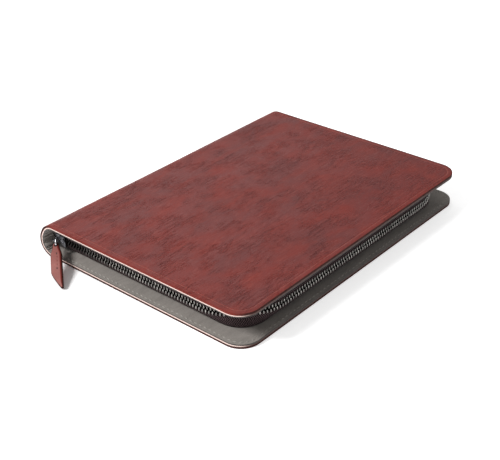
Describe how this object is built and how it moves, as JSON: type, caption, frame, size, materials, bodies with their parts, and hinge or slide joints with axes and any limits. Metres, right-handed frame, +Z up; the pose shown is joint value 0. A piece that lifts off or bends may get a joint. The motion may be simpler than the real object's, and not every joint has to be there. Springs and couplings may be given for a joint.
{
  "type": "zip portfolio case",
  "caption": "Slim zip-around leather portfolio case for A5 paper, with a folding spine, a metal zip with a leather pull tab, and inside pockets and a pen loop.",
  "frame": {"origin": "centre of the closed case's footprint, on the flat underside of the back cover", "axes": "+X from the spine to the open edge, +Y along the spine away from the slider's end, +Z up through the covers"},
  "size_m": [0.1816, 0.2612, 0.0251],
  "materials": {
    "leather": "red-brown smooth leather with a fine crease grain and a soft sheen",
    "core_board": "pale raw core layer that shows as a light line at the cut edges",
    "lining": "matt grey lining with a fine suede-like nap",
    "zip_tape": "black herringbone woven tape",
    "dark_metal": "dark nickel zip metal",
    "bright_metal": "bright nickel wire",
    "tab_leather": "pinkish red leather with a darker painted edge"
  },
  "bodies": {
    "back_cover": {"back_cover_leather": "leather", "back_cover_core": "core_board", "back_cover_lining": "lining", "zip_tape_back": "zip_tape", "zip_teeth_back": "dark_metal", "zip_top_stop_back": "dark_metal", "zip_bottom_stop": "dark_metal", "pad_panel": "lining"},
    "spine_strip_1": {"spine_leather_1": "leather", "spine_core_1": "core_board", "spine_lining_1": "lining"},
    "spine_strip_2": {"spine_leather_2": "leather", "spine_core_2": "core_board", "spine_lining_2": "lining"},
    "spine_strip_3": {"spine_leather_3": "leather", "spine_core_3": "core_board", "spine_lining_3": "lining", "pen_loop": "leather"},
    "spine_strip_4": {"spine_leather_4": "leather", "spine_core_4": "core_board", "spine_lining_4": "lining"},
    "spine_strip_5": {"spine_leather_5": "leather", "spine_core_5": "core_board", "spine_lining_5": "lining"},
    "front_cover": {"front_cover_leather": "leather", "front_cover_core": "core_board", "front_cover_lining": "lining", "zip_tape_front": "zip_tape", "zip_teeth_front": "dark_metal", "zip_top_stop_front": "dark_metal", "document_pocket": "lining", "card_slot_1": "leather", "card_slot_2": "leather", "card_slot_3": "leather"},
    "slider": {"slider_body": "dark_metal", "slider_bridge": "dark_metal"},
    "ring": {"pull_ring": "bright_metal"},
    "tab": {"pull_tab_upper": "tab_leather", "pull_tab_lower": "tab_leather"}
  },
  "joints": [
    {"name": "spine_fold_1", "type": "hinge", "parent": "back_cover", "child": "spine_strip_1", "pos_m": [-0.0831, 0, 0], "axis": [0, -1, 0], "range_deg": [0, 30]},
    {"name": "spine_fold_2", "type": "hinge", "parent": "spine_strip_1", "child": "spine_strip_2", "pos_m": [-0.0883, 0, 0.003], "axis": [0, -1, 0], "range_deg": [0, 30]},
    {"name": "spine_fold_3", "type": "hinge", "parent": "spine_strip_2", "child": "spine_strip_3", "pos_m": [-0.0908, 0, 0.00733], "axis": [0, -1, 0], "range_deg": [0, 30]},
    {"name": "spine_fold_4", "type": "hinge", "parent": "spine_strip_3", "child": "spine_strip_4", "pos_m": [-0.0908, 0, 0.01383], "axis": [0, -1, 0], "range_deg": [0, 30]},
    {"name": "spine_fold_5", "type": "hinge", "parent": "spine_strip_4", "child": "spine_strip_5", "pos_m": [-0.0863, 0, 0.02162], "axis": [0, -1, 0], "range_deg": [0, 30]},
    {"name": "spine_fold_6", "type": "hinge", "parent": "spine_strip_5", "child": "front_cover", "pos_m": [-0.08024, 0, 0.02512], "axis": [0, -1, 0], "range_deg": [0, 30]},
    {"name": "slider_travel", "type": "slide", "parent": "back_cover", "child": "slider", "axis": [1, 0, 0], "range_m": [0, 0.127]},
    {"name": "ring_swing", "type": "hinge", "parent": "slider", "child": "ring", "pos_m": [-0.0795, -0.1156, 0.0118], "axis": [0, 0, 1], "range_deg": [-88, 6]},
    {"name": "tab_lift", "type": "hinge", "parent": "ring", "child": "tab", "pos_m": [-0.07706, -0.11765, 0.01147], "axis": [-0.6428, -0.766, 0], "range_deg": [0, 38]}
  ],
  "couplings": [
    {"joint": "spine_fold_1", "follows": "spine_fold_6", "ratio": 1},
    {"joint": "spine_fold_2", "follows": "spine_fold_6", "ratio": 1},
    {"joint": "spine_fold_3", "follows": "spine_fold_6", "ratio": 1},
    {"joint": "spine_fold_4", "follows": "spine_fold_6", "ratio": 1},
    {"joint": "spine_fold_5", "follows": "spine_fold_6", "ratio": 1}
  ]
}
